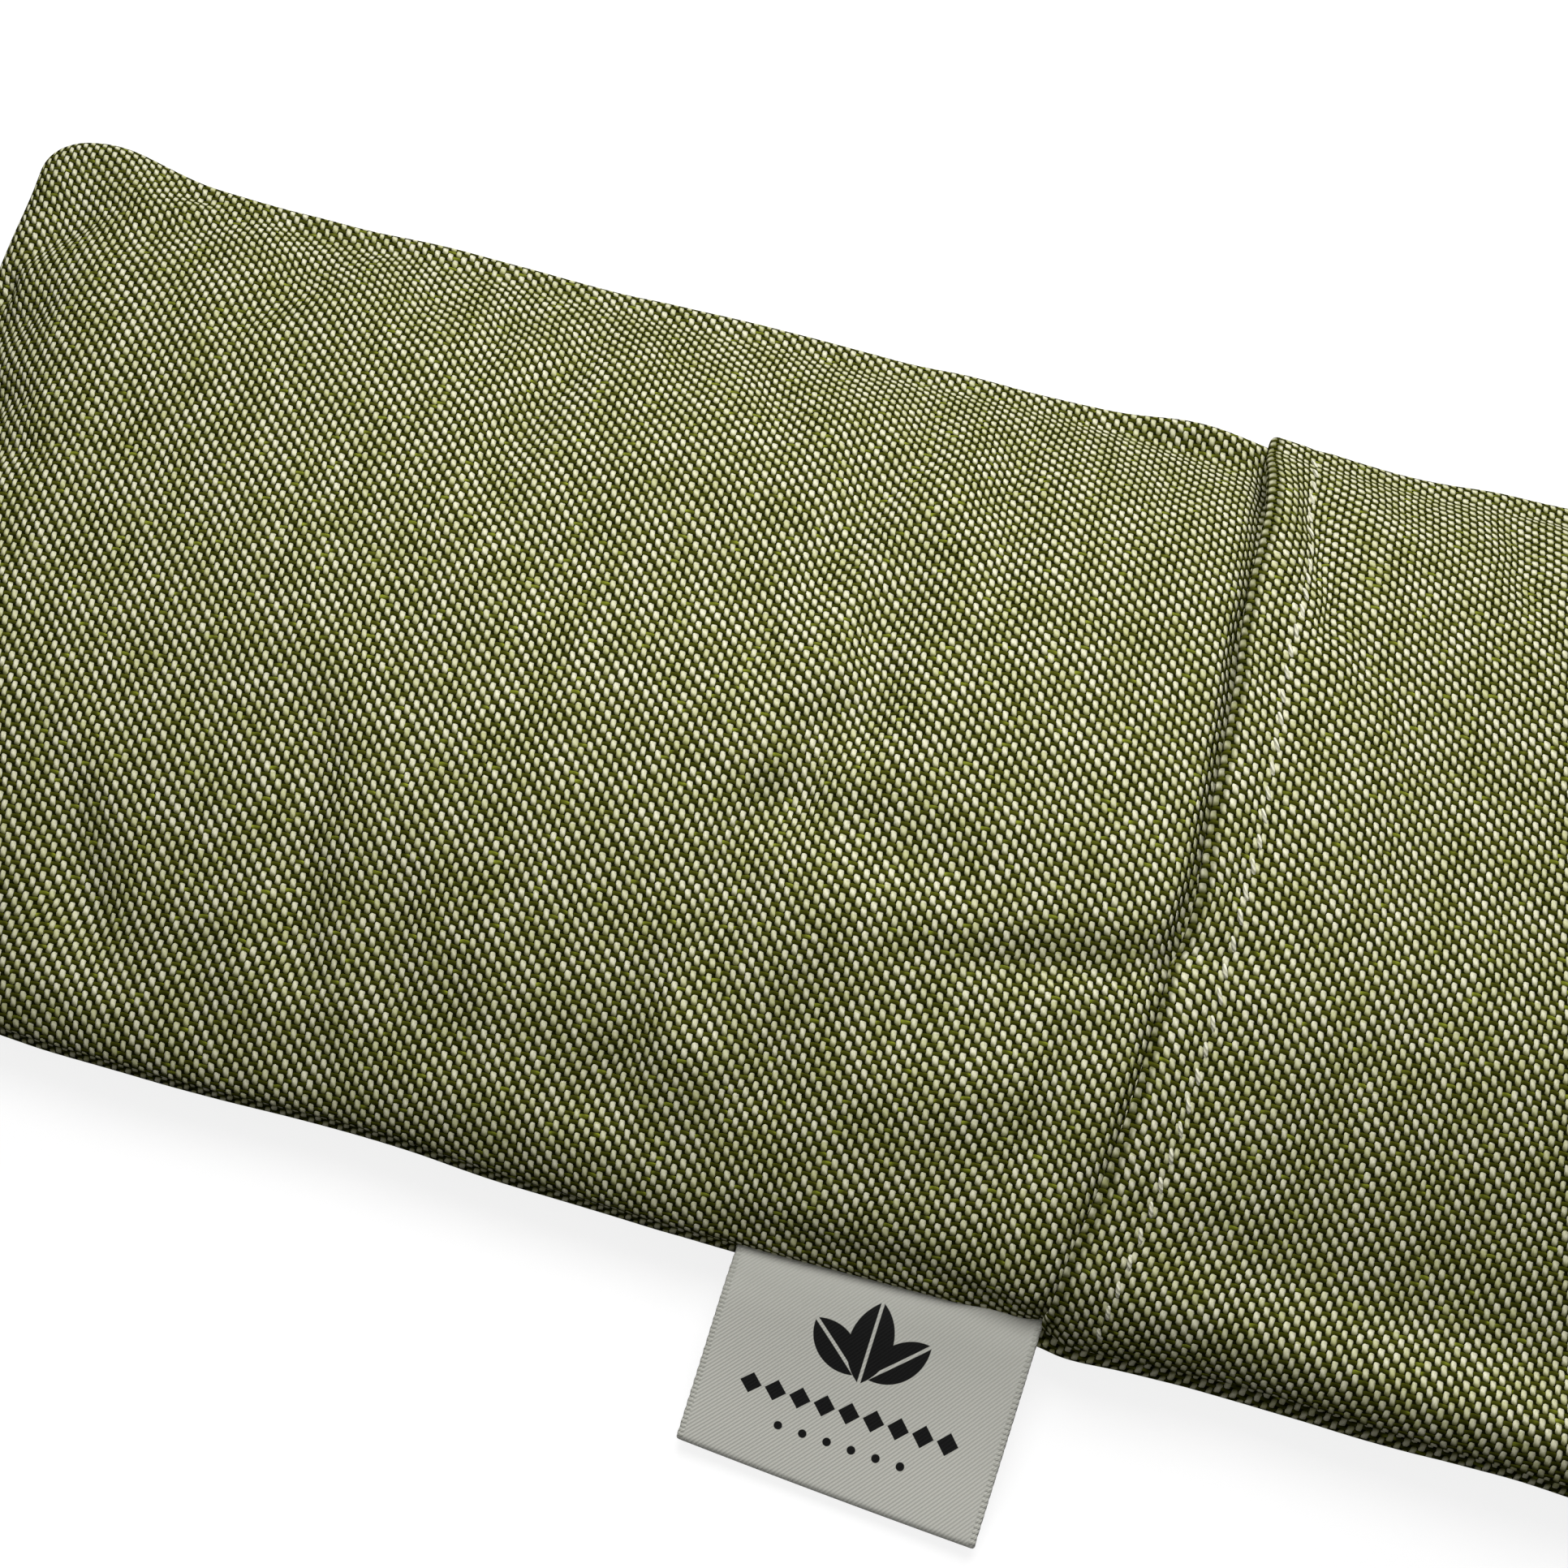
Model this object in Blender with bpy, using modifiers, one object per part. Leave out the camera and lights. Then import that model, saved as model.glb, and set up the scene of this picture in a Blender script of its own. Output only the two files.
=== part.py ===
"""Eye pillow: a seed-filled inner bag in an envelope-closure canvas cover, with a folded ribbon label.

Units are metres, +Z is up. The origin is the middle of the flat underside, +X runs along the pillow
and -Y is the front, where the label hangs from the seam.
"""
import math

import bmesh
import bpy
from mathutils import Vector

# Outline and height of the stuffed cover
HALF_LENGTH = 0.1105
HALF_DEPTH = 0.0520
END_PULL = 0.0020        # how far the short ends draw in between the corners
SIDE_PULL = 0.0012       # how far the long sides draw in between the corners
SEAM_HEIGHT = 0.0090
CROWN = 0.0172           # rise of the top above the seam
LEAN = 0.24              # the filling lies deeper towards +X, by this share of the crown
END_ROUNDING = 0.30      # exponents of the crown's fall to the ends and to the sides
SIDE_ROUNDING = 0.34
SIDE_POWER = 1.6
TURN_UP = 0.0140         # width of the rounded edge round the flat underside

# Cloth, thread and gaps
CANVAS = 0.0008
COTTON = 0.0005
GAP = 0.0003
LAYER_GAP = 0.0005
THREAD_RADIUS = 0.00025

# The lap, where the right panel's folded hem lies over the left panel
LAP_X = 0.0355
LAP_BOW = 0.0030         # the lap line is this much further right in the middle
HEM_DEPTH = 0.0110
HEM_STITCH_INSET = 0.0050
UNDERLAP_X = 0.0740      # where the left panel ends under the flap
STEP_DOWN = 0.0120       # length over which the flap settles past the layers below it

# Ribbon label in the front seam
LABEL_WIDTH = 0.0320
LABEL_REACH = 0.0230
LABEL_SLOPE = math.radians(19.0)
LABEL_THICKNESS = 0.0004
LABEL_LOOP_GAP = 0.0004
LABEL_FROM_LAP = 0.0015
HINGE_CLEARANCE = 0.0010

# How far in from the cover's edge its seam's threads run, and where they stop short of the corners
SEAM_INSET = 0.0027
SEAM_REACH = 0.94

# Inner bag and filling, held clear of the cover on every side
BAG_INSET = 0.0050
BAG_DROP = 0.0026
FILL_INSET = 0.0042
FILL_DROP = 0.0014
BAG_SEAM_INSET = 0.0014
BAG_SEAM_RISE = 0.0006   # the bag's thread lies just above its edge
BAG_CORNER = 0.0040      # radius of the thread's turn at a corner

# Number of mesh divisions
LENGTH_DIVISIONS = 26
DEPTH_DIVISIONS = 16
FLAP_DIVISIONS = 11
FOLD_DIVISIONS = 4
BAG_LENGTH_DIVISIONS = 20
BAG_DEPTH_DIVISIONS = 12

# Colours
CANVAS_COLOUR = (0.21, 0.215, 0.105)
THREAD_COLOUR = (0.72, 0.70, 0.56)
COTTON_COLOUR = (0.80, 0.77, 0.70)
SEED_COLOUR = (0.16, 0.075, 0.03)
SATIN_COLOUR = (0.45, 0.46, 0.41)


# ---- Object helpers --------------------------------------------------------------------------

def clear_scene():
    for item in list(bpy.data.objects):
        bpy.data.objects.remove(item, do_unlink=True)


def new_collection(name):
    collection = bpy.data.collections.new(name)
    bpy.context.scene.collection.children.link(collection)
    return collection


def make_material(name, colour, roughness):
    material = bpy.data.materials.new(name)
    material.use_nodes = True
    shader = material.node_tree.nodes["Principled BSDF"]
    shader.inputs["Base Color"].default_value = (*colour, 1.0)
    shader.inputs["Roughness"].default_value = roughness
    shader.inputs["Metallic"].default_value = 0.0
    return material


def add_object(name, data, colour, roughness):
    item = bpy.data.objects.new(name, data)
    data.materials.append(make_material(name, colour, roughness))
    PARTS.objects.link(item)
    return item


def add_thread(name, points, colour):
    """A sewing thread: a poly curve with a round section."""
    curve = bpy.data.curves.new(name, "CURVE")
    curve.dimensions = "3D"
    spline = curve.splines.new("POLY")
    spline.points.add(len(points) - 1)
    for spline_point, point in zip(spline.points, points):
        spline_point.co = (*point, 1.0)
    curve.bevel_depth = THREAD_RADIUS
    curve.bevel_resolution = 2
    curve.use_fill_caps = True
    return add_object(name, curve, colour, 0.7)


def grid_mesh(columns, rows, place):
    """A grid of columns by rows points, each moved to place(column, row)."""
    mesh = bmesh.new()
    bmesh.ops.create_grid(mesh, x_segments=columns - 1, y_segments=rows - 1, size=1.0)
    for vertex in mesh.verts:
        column = round((vertex.co.x + 1.0) / 2.0 * (columns - 1))
        row = round((vertex.co.y + 1.0) / 2.0 * (rows - 1))
        vertex.co = place(column, row)
    return mesh


def add_cloth(name, mesh, thickness, side, colour, roughness=0.9):
    """Give an open sheet its thickness, above it for side 1 or below it for side -1."""
    data = bpy.data.meshes.new(name)
    mesh.to_mesh(data)
    mesh.free()
    data.shade_smooth()
    item = add_object(name, data, colour, roughness)
    solidify = item.modifiers.new("Cloth thickness", "SOLIDIFY")
    solidify.thickness = thickness
    solidify.offset = side
    return item


# ---- The stuffed shape -----------------------------------------------------------------------

def eased(count):
    """Stations from -1 to 1 that lie closer together towards both ends."""
    steps = [2.0 * i / count - 1.0 for i in range(count + 1)]
    return [math.copysign(1.0 - (1.0 - abs(t)) ** 1.5, t) for t in steps]


def eased_to_one(count):
    """Stations from 0 to 1 that lie closer together towards 1."""
    return [1.0 - (1.0 - i / count) ** 1.4 for i in range(count + 1)]


def rim_x(v):
    return HALF_LENGTH - END_PULL * (1.0 - v * v)


def rim_y(u):
    return HALF_DEPTH - SIDE_PULL * (1.0 - u * u)


def lap_x(v):
    return LAP_X + LAP_BOW * (1.0 - v * v)


def clamp(value):
    return max(-1.0, min(1.0, value))


def top_point(x, v):
    """A point of the top panel's inner side at length x and depth fraction v."""
    u = clamp(x / rim_x(v))
    along = (1.0 - u * u) ** END_ROUNDING
    across = (1.0 - abs(v) ** SIDE_POWER) ** SIDE_ROUNDING
    rise = CROWN * (1.0 + LEAN * u) * along * across
    return Vector((u * rim_x(v), v * rim_y(u), SEAM_HEIGHT + GAP / 2.0 + rise))


def top_normal(x, v):
    """The top's outward direction, from short steps either way that stop at the seam."""
    step_x = 0.004
    step_v = 0.06
    along = top_point(x + step_x, v) - top_point(x - step_x, v)
    across = top_point(x, clamp(v + step_v)) - top_point(x, clamp(v - step_v))
    return along.cross(across).normalized()


def lifted(x, v, lift):
    return top_point(x, v) + top_normal(x, v) * lift


def layer(number):
    """Height of the middle of a canvas layer: 0 is the left panel, and 1 lies on top of it."""
    return CANVAS / 2.0 + number * (CANVAS + LAYER_GAP)


def under_point(u, v):
    """A point of the underside's inner side: flat in the middle, rounded up to the seam."""
    from_end = (1.0 - abs(u)) * rim_x(v)
    from_side = (1.0 - abs(v)) * rim_y(u)
    turn_end = max(0.0, 1.0 - from_end / TURN_UP)
    turn_side = max(0.0, 1.0 - from_side / TURN_UP)
    turn = min(1.0, math.hypot(turn_end, turn_side))
    top = SEAM_HEIGHT - GAP / 2.0
    height = top - (top - CANVAS) * math.sqrt(1.0 - turn * turn)
    return Vector((u * rim_x(v), v * rim_y(u), height))


def shrunk(point, inset, drop):
    """Draw a point in towards the pillow's middle, to make a smaller shape inside this one."""
    scale_x = 1.0 - inset / HALF_LENGTH
    scale_y = 1.0 - inset / HALF_DEPTH
    above = point.z > SEAM_HEIGHT
    reach = CROWN if above else SEAM_HEIGHT - CANVAS
    scale_z = 1.0 - drop / reach
    height = SEAM_HEIGHT + (point.z - SEAM_HEIGHT) * scale_z
    return Vector((point.x * scale_x, point.y * scale_y, height))


# ---- Cover -----------------------------------------------------------------------------------

def fold_profile(start, fold, hem, low, high):
    """Points (x, lift) of a folded hem seen from the side, from the main layer to the hem's end.

    The main layer comes from start at lift high, turns over at fold and goes back by hem at low.
    """
    turned_under = 0.55
    direction = 1.0 if fold > start else -1.0
    radius = (high - low) / 2.0
    centre = fold - direction * abs(radius)
    profile = []
    for i in range(FOLD_DIVISIONS + 1):
        angle = math.pi * i / FOLD_DIVISIONS
        offset = direction * abs(radius) * math.sin(angle)
        profile.append((centre + offset, (high + low) / 2.0 + radius * math.cos(angle)))
    profile.append((fold - direction * hem * turned_under, low))
    profile.append((fold - direction * hem, low))
    return profile


def add_underside():
    stations = eased(LENGTH_DIVISIONS)
    depths = eased(DEPTH_DIVISIONS)
    mesh = grid_mesh(len(stations), len(depths), lambda i, j: under_point(stations[i], depths[j]))
    add_cloth("cover_underside", mesh, CANVAS, -1, CANVAS_COLOUR)


def add_left_top():
    """The left panel runs on under the flap and ends in a hem turned inwards."""
    depths = eased(DEPTH_DIVISIONS)
    before_fold = (UNDERLAP_X - 0.004) / HALF_LENGTH
    main = [u for u in eased(LENGTH_DIVISIONS) if u < before_fold]
    hem = fold_profile(0.0, UNDERLAP_X, HEM_DEPTH, layer(-1), layer(0))

    def place(column, row):
        v = depths[row]
        if column < len(main):
            return lifted(main[column] * rim_x(v), v, layer(0))
        x, lift = hem[column - len(main)]
        return lifted(x, v, lift)

    mesh = grid_mesh(len(main) + len(hem), len(depths), place)
    add_cloth("cover_left_top", mesh, CANVAS, 0, CANVAS_COLOUR)


def flap_lift(x, v):
    """Height of the flap's main layer: over two layers at its hem, over one beyond, then over none."""
    clear = 0.002
    past_hem = (x - lap_x(v) - HEM_DEPTH - clear) / STEP_DOWN
    past_panel = (x - UNDERLAP_X - clear) / STEP_DOWN
    layers = 2.0 - max(0.0, min(1.0, past_hem)) - max(0.0, min(1.0, past_panel))
    return layer(layers)


def add_right_flap():
    """The right panel, from its hem over the left panel to the right end."""
    depths = eased(DEPTH_DIVISIONS)
    outer = eased_to_one(FLAP_DIVISIONS)

    def place(column, row):
        v = depths[row]
        hem = fold_profile(HALF_LENGTH, lap_x(v), HEM_DEPTH, layer(1), layer(2))
        hem.reverse()
        if column < len(hem):
            x, lift = hem[column]
            return lifted(x, v, lift)
        start = hem[-1][0]
        t = outer[column - len(hem) + 1]
        x = start + t * (rim_x(v) - start)
        return lifted(x, v, flap_lift(x, v))

    hem_columns = FOLD_DIVISIONS + 3
    mesh = grid_mesh(hem_columns + FLAP_DIVISIONS, len(depths), place)
    add_cloth("cover_right_flap", mesh, CANVAS, 0, CANVAS_COLOUR)


def add_hem_threads():
    reach = 0.93
    from_fold = 0.7
    depths = [v * reach for v in eased(DEPTH_DIVISIONS)]
    clear_of_layer = CANVAS / 2.0 + GAP + THREAD_RADIUS
    flap_row = [lifted(lap_x(v) + HEM_STITCH_INSET, v, layer(2) + clear_of_layer) for v in depths]
    add_thread("flap_hem_stitching", flap_row, THREAD_COLOUR)
    under_row = [lifted(UNDERLAP_X - HEM_DEPTH * from_fold, v, layer(-1) - clear_of_layer) for v in depths]
    add_thread("underlap_hem_stitching", under_row, THREAD_COLOUR)


def add_seam_threads():
    """The seam's threads run just inside the edge, between the two panels."""
    end_reach = SEAM_REACH * 0.96
    lengths = [u * SEAM_REACH for u in eased(LENGTH_DIVISIONS)]
    depths = [v * end_reach for v in eased(DEPTH_DIVISIONS)]
    for name, side in (("front_seam_thread", -1.0), ("back_seam_thread", 1.0)):
        row = [Vector((u * HALF_LENGTH, side * (rim_y(u) - SEAM_INSET), SEAM_HEIGHT)) for u in lengths]
        add_thread(name, row, THREAD_COLOUR)
    for name, side in (("left_end_seam_thread", -1.0), ("right_end_seam_thread", 1.0)):
        row = [Vector((side * (rim_x(v) - SEAM_INSET), v * HALF_DEPTH, SEAM_HEIGHT)) for v in depths]
        add_thread(name, row, THREAD_COLOUR)


# ---- Inner bag and filling -------------------------------------------------------------------

def bag_grid(inset, drop, upper):
    """The upper or lower half of the stuffed shape, made smaller, as an open sheet."""
    stations = eased(BAG_LENGTH_DIVISIONS)
    depths = eased(BAG_DEPTH_DIVISIONS)

    def place(column, row):
        u = stations[column]
        v = depths[row]
        point = top_point(u * rim_x(v), v) if upper else under_point(u, v)
        return shrunk(point, inset, drop)

    return grid_mesh(len(stations), len(depths), place)


def add_inner_bag():
    upper = bag_grid(BAG_INSET, BAG_DROP, True)
    add_cloth("inner_bag_top", upper, COTTON, 1, COTTON_COLOUR)
    lower = bag_grid(BAG_INSET, COTTON + GAP, False)
    add_cloth("inner_bag_underside", lower, COTTON, -1, COTTON_COLOUR)


def add_bag_threads():
    """One thread round three sides of the inner bag and one that closes its right end."""
    height = SEAM_HEIGHT + BAG_SEAM_RISE
    end_x = rim_x(0.0) - BAG_INSET - BAG_SEAM_INSET
    side_y = rim_y(0.0) - BAG_INSET - BAG_SEAM_INSET
    turn_x = end_x - BAG_CORNER
    turn_y = side_y - BAG_CORNER
    front = [Vector((-t * turn_x, -side_y, height)) for t in eased(BAG_LENGTH_DIVISIONS)]
    for degrees in (22.5, 45.0, 67.5):
        angle = math.radians(degrees)
        x = turn_x + BAG_CORNER * math.sin(angle)
        y = turn_y + BAG_CORNER * math.cos(angle)
        front.append(Vector((-x, -y, height)))
    back = [Vector((point.x, -point.y, height)) for point in reversed(front)]
    end_row = [t * turn_y for t in eased(BAG_DEPTH_DIVISIONS)]
    left_end = [Vector((-end_x, y, height)) for y in end_row]
    right_end = [Vector((end_x, y, height)) for y in end_row]
    add_thread("inner_bag_seam_thread", front + left_end + back, COTTON_COLOUR)
    add_thread("inner_bag_closing_thread", right_end, COTTON_COLOUR)


def add_seed_fill():
    """The loose seeds as one closed body: an upper and a lower sheet joined at their edge."""
    inset = BAG_INSET + FILL_INSET
    seam_opening = GAP * 1.2
    upper = bag_grid(inset, BAG_DROP + FILL_DROP, True)
    lower = bag_grid(inset, COTTON + GAP + FILL_DROP, False)
    data = bpy.data.meshes.new("seed_fill")
    bmesh.ops.reverse_faces(lower, faces=lower.faces)
    lower.to_mesh(data)
    upper.from_mesh(data)
    lower.free()
    bmesh.ops.remove_doubles(upper, verts=upper.verts, dist=seam_opening)
    upper.to_mesh(data)
    upper.free()
    data.shade_smooth()
    add_object("seed_fill", data, SEED_COLOUR, 0.8)


# ---- Label -----------------------------------------------------------------------------------

def label_profile():
    """The folded ribbon from the side, as (outwards, up): down one layer, round the fold, back."""
    divisions = 6
    radius = (LABEL_THICKNESS + LABEL_LOOP_GAP) / 2.0
    reach = LABEL_REACH - radius
    upper = [(reach * i / divisions, radius) for i in range(divisions + 1)]
    lower = [(out, -radius) for out, _ in reversed(upper)]
    fold = []
    for i in range(1, divisions):
        angle = math.pi * (0.5 - i / divisions)
        fold.append((reach + radius * math.cos(angle), radius * math.sin(angle)))
    return upper + fold + lower


def add_label():
    """The label slopes down to the table and turns about the front seam, where its origin is."""
    profile = label_profile()
    columns = 5
    hinge_x = LAP_X - LABEL_FROM_LAP - LABEL_WIDTH / 2.0
    hinge_y = -(rim_y(hinge_x / HALF_LENGTH) + CANVAS + HINGE_CLEARANCE)

    def place(column, row):
        out, up = profile[row]
        down = out * math.sin(LABEL_SLOPE) - up * math.cos(LABEL_SLOPE)
        forward = out * math.cos(LABEL_SLOPE) + up * math.sin(LABEL_SLOPE)
        across = (column / (columns - 1) - 0.5) * LABEL_WIDTH
        return Vector((across, -forward, -down))

    mesh = grid_mesh(columns, len(profile), place)
    label = add_cloth("label", mesh, LABEL_THICKNESS, 0, SATIN_COLOUR, 0.5)
    label.location = (hinge_x, hinge_y, SEAM_HEIGHT)


clear_scene()
PARTS = new_collection("Eye pillow")
add_underside()
add_left_top()
add_right_flap()
add_hem_threads()
add_seam_threads()
add_inner_bag()
add_bag_threads()
add_seed_fill()
add_label()
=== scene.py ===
"""Looks of the eye pillow: its canvas cover, the lapped flap with its hem stitches, the ribbon label,
and the bag of seeds inside. Metres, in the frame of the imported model.

The cover is one stuffed form. Blender's Cloth settles it, and every other soft piece is laid on it or
held inside it by its length and depth fractions u and v, which run from -1 to 1 between the seams.
"""
import math

import bmesh
import bpy
import numpy as np
from mathutils import Matrix, Vector, noise


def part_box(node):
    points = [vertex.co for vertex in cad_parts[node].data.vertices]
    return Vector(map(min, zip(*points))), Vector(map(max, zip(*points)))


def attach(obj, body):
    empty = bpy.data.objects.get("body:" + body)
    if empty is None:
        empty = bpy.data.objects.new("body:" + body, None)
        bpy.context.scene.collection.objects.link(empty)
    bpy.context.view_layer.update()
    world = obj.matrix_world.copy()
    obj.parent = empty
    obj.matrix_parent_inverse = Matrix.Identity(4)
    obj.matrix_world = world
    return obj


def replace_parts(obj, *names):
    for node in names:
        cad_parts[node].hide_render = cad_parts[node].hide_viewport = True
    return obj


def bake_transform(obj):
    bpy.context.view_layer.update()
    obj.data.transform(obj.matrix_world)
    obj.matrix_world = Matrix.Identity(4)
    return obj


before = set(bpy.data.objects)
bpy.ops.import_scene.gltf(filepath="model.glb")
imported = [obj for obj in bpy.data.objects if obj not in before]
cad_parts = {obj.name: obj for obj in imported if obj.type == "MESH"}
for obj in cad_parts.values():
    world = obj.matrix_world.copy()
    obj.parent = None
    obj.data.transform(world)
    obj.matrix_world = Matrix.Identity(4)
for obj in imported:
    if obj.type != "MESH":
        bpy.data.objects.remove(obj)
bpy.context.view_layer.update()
BODY = "pillow"

# The form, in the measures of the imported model
UNDER_LOW, UNDER_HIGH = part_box("cover_underside")
HALF_X = (UNDER_HIGH.x - UNDER_LOW.x) / 2.0
HALF_Y = (UNDER_HIGH.y - UNDER_LOW.y) / 2.0
SEAM_HEIGHT = 0.0090
END_PULL = 0.0020  # how far the middle of each end is drawn in
SIDE_PULL = 0.0012  # how far the middle of each long side is drawn in
CROWN = 0.0180  # how high the top rises above the seam
LEAN = 0.24  # how much of that it gains towards the right end
END_ROUNDING = 0.30
SIDE_ROUNDING = 0.34
FRONT_ROUNDING = 0.12  # how much rounder the top falls to the front seam
SIDE_POWER = 1.6
TURN_UP = 0.0140  # width of the underside's strip that turns up to the seam
CORNER_RADIUS = 0.0048
LEFT_REACH = 0.0014  # how much further the left end lies out

# How far the front and the back lie out: a level, steps (rise, from, to) and hills (rise, x, size)
FRONT_OUTLINE = (-0.0005,
                 ((0.0015, -0.105, -0.050), (0.0011, -0.040, 0.000), (0.0005, 0.028, 0.040)),
                 ((0.0005, 0.038, 0.008),))
BACK_OUTLINE = (0.0011, ((0.0012, 0.048, 0.062),), ((0.0025, -0.1035, 0.009),))

# Dents in the top: depth, place, sizes and turn
DENTS = (
    (0.0009, -0.066, -0.034, 0.018, 0.009, -0.1),
    (0.0010, -0.046, -0.047, 0.012, 0.004, 0.05),
    (0.0010, -0.006, -0.046, 0.012, 0.005, -0.3),
    (0.0010, 0.009, -0.013, 0.016, 0.004, -0.1),
    (0.0015, 0.022, -0.026, 0.015, 0.006, 0.35),
    (0.0021, 0.0290, -0.0195, 0.013, 0.0017, 0.25),
    (0.0007, -0.020, 0.012, 0.030, 0.010, 0.5),
    (0.0006, -0.085, 0.010, 0.010, 0.020, 0.0),
    (0.0013, 0.026, 0.0475, 0.009, 0.0020, -0.12),
)

# Soft lumps of seeds: height, size and noise seed
TOP_LUMPS = ((0.00055, 0.030, 1), (0.00022, 0.011, 2))
UNDER_LUMPS = ((0.0004, 0.026, 3),)
EDGE_OF_LUMPS = 0.012  # over this distance from the seam the lumps and the slump grow

# The seam: puckers across it, its wandering, and the groove it lies in
PUCKER = (0.00045, 0.0075, 5)
WANDER = (0.0007, 0.021, 6)
PUCKER_REACH = 0.006
GROOVE_DEPTH = 0.0010  # how far the seam lies in from the outline
ROLLED_GROOVE = 0.0012  # how much further in it lies in front, right of the label
GROOVE_HALF_HEIGHT = 0.0007
GROOVE_REACH = 0.002

# The seam stands up in a small shelf behind, just left of the lap
SHELF_HEIGHT = 0.0019
SHELF_X = 0.027
SHELF_SIZE = 0.007
SHELF_REACH = 0.0030

# In front on the right the top slumps, and the seam rolls up over the lower panel's swelling
SLUMP = 0.0040
ROLL = 0.0018
ROLL_REACH = 0.007
DRAWN_IN = 0.0013
DRAWN_REACH = 0.0035
SWELLS = ((0.0017, 0.0012, 0.0012), (0.0010, 0.0035, 0.0026))  # how far out, from the seam, size

# The wall above the label lies back, more so near the lap, so that the ribbon can swing up
HOLLOW = 0.0011
HOLLOW_NEAR_LAP = 0.0008
HOLLOW_HEIGHT = 0.0036  # its middle above the seam
HOLLOW_DROP = 0.0013  # how much lower its middle lies near the lap
HOLLOW_SIZE = 0.0021
HOLLOW_REACH = 0.004

# How much of the settled folds is taken away
CALM_CORNERS = 0.7
CALM_CORNER_REACH = 0.020
CALM_FRONT = 0.85
CALM_FLAP = 0.75

# Cloth
CLOTH = 0.0008
PLY_GAP = 0.0001
YARN_PITCH = 0.00079
ROW_SHARE = 0.4  # how much of a row's own length counts, against the mean of all rows

# The lap
LAP_X = 0.0355
LAP_BOW = 0.0030
LAP_SWAY = 0.00085  # how far the lap sways to the right in front, and left behind
HEM_DEPTH = 0.0110
UNDERLAP_X = 0.0740
STEP_DOWN = 0.0100  # over this distance behind the hem the flap comes down a layer
HEM_UNDER_COLUMNS = 7
HEM_TOP_COLUMNS = 14
FLAP_ROWS = 81
FLAP_COLUMNS = 46
FOLD_WAVE = (0.0005, 0.018, 8)  # height, size and seed of its waves
FOLD_WAVE_REACH = 0.012
FOLD_COUNT = 1000.0  # the yarn count at the flap's folded edge
FOLD_ROW = 0.61  # and the row count at its middle
FOLD_RISE = 0.0006  # how far the fold stands off the cover in front
FOLD_RISE_BEHIND = 0.0004  # and how much more behind
FOLD_RISE_REACH = 0.0040

# The valley that the folded edge presses into the cover: depth, place right of the fold and size
VALLEYS = ((0.0005, 0.0, 0.0050), (0.0019, 0.0002, 0.0013))
SUNK_UNDER_FLAP = 0.0006  # how far the cover lies lower under the flap

# Hem stitches
STITCH_INSET = 0.0050
STITCH_PITCH = 0.0028
STITCH_LENGTH = 0.0018
STITCH_RADIUS = 0.00025
STITCH_RISE = 0.00034  # how high a stitch bows
STITCH_SUNK = 0.00022  # and how deep its ends lie in the cloth
STITCH_SLANT = 0.00030
STITCH_FURROW = 0.00022  # the stitches draw the hem in by this much
STITCH_FURROW_SIZE = 0.0009
STITCH_RINGS = 9
STITCH_SIDES = 8
STITCH_SEED = 4

# Label
LABEL_LOW, LABEL_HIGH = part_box("label")
LABEL_WIDTH = LABEL_HIGH.x - LABEL_LOW.x
LABEL_X = (LABEL_HIGH.x + LABEL_LOW.x) / 2.0 + 0.0013
LABEL_TURN = math.tan(math.radians(2.6))
LABEL_SKEW = 0.0021  # how much further out the fold lies at the right edge
LABEL_HINGE_Y = -0.0526
LABEL_REACH = 0.0210
LABEL_ROOT = 0.0034  # how far the ribbon runs into the seam
LABEL_COLUMNS = 29
LABEL_DROOP = math.radians(20.0)
LABEL_BEND = math.radians(4.0)
SELVEDGE_TOOTH = 0.00007
SELVEDGE_PITCH = 0.0012
RIBBON = 0.00032
RIBBON_GAP = 0.00050

# Inner bag and seeds: how far in from the cover they lie, at the sides, on top and below
BAG_INSET = (0.0050, 0.0030, 0.0016)
HEAP_INSET = (0.0095, 0.0050, 0.0030)
HEAP_BUMPS = (0.0005, 0.004, 9)

# Cloth simulation, at ten times life size
SIM_SCALE = 10.0
SIM_FRAMES = 24
SIM_COLUMNS = 93
SIM_ROWS = 45
SIM_BLUR = 5  # folds wider than this many cells are left out
MOST_MOVED = 0.0022  # the most that a point may move
CLOTH_SETTINGS = {
    "quality": 6,
    "mass": 0.3,
    "air_damping": 3.0,
    "tension_stiffness": 60.0,
    "compression_stiffness": 60.0,
    "shear_stiffness": 25.0,
    "bending_stiffness": 1.2,
    "tension_damping": 10.0,
    "compression_damping": 10.0,
    "use_pressure": True,
    "uniform_pressure_force": 3.0,
    "shrink_min": -0.035,
    "vertex_group_mass": "seam",
}


# ---- Helpers ----

def ramp(low, high, value):
    """A smooth step from 0 to 1 as a value goes from low to high."""
    t = np.clip((value - low) / (high - low), 0.0, 1.0)
    return t * t * (3.0 - 2.0 * t)


def hill(distance, size):
    """A soft hill of height 1 over a distance from its middle."""
    return np.exp(-(distance / size) ** 2)


def bump(x, y, centre_x, centre_y, size_x, size_y, turn):
    """A hill of height 1 with its long and short sizes turned by an angle."""
    cos_turn = math.cos(turn)
    sin_turn = math.sin(turn)
    along = (x - centre_x) * cos_turn + (y - centre_y) * sin_turn
    across = (y - centre_y) * cos_turn - (x - centre_x) * sin_turn
    return hill(along, size_x) * hill(across, size_y)


def profile(x, level, steps, hills):
    """A smooth line over x, from a level with steps and hills on it."""
    height = level
    for rise, low, high in steps:
        height = height + rise * ramp(low, high, x)
    for rise, place, size in hills:
        height = height + rise * hill(x - place, size)
    return height


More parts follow.
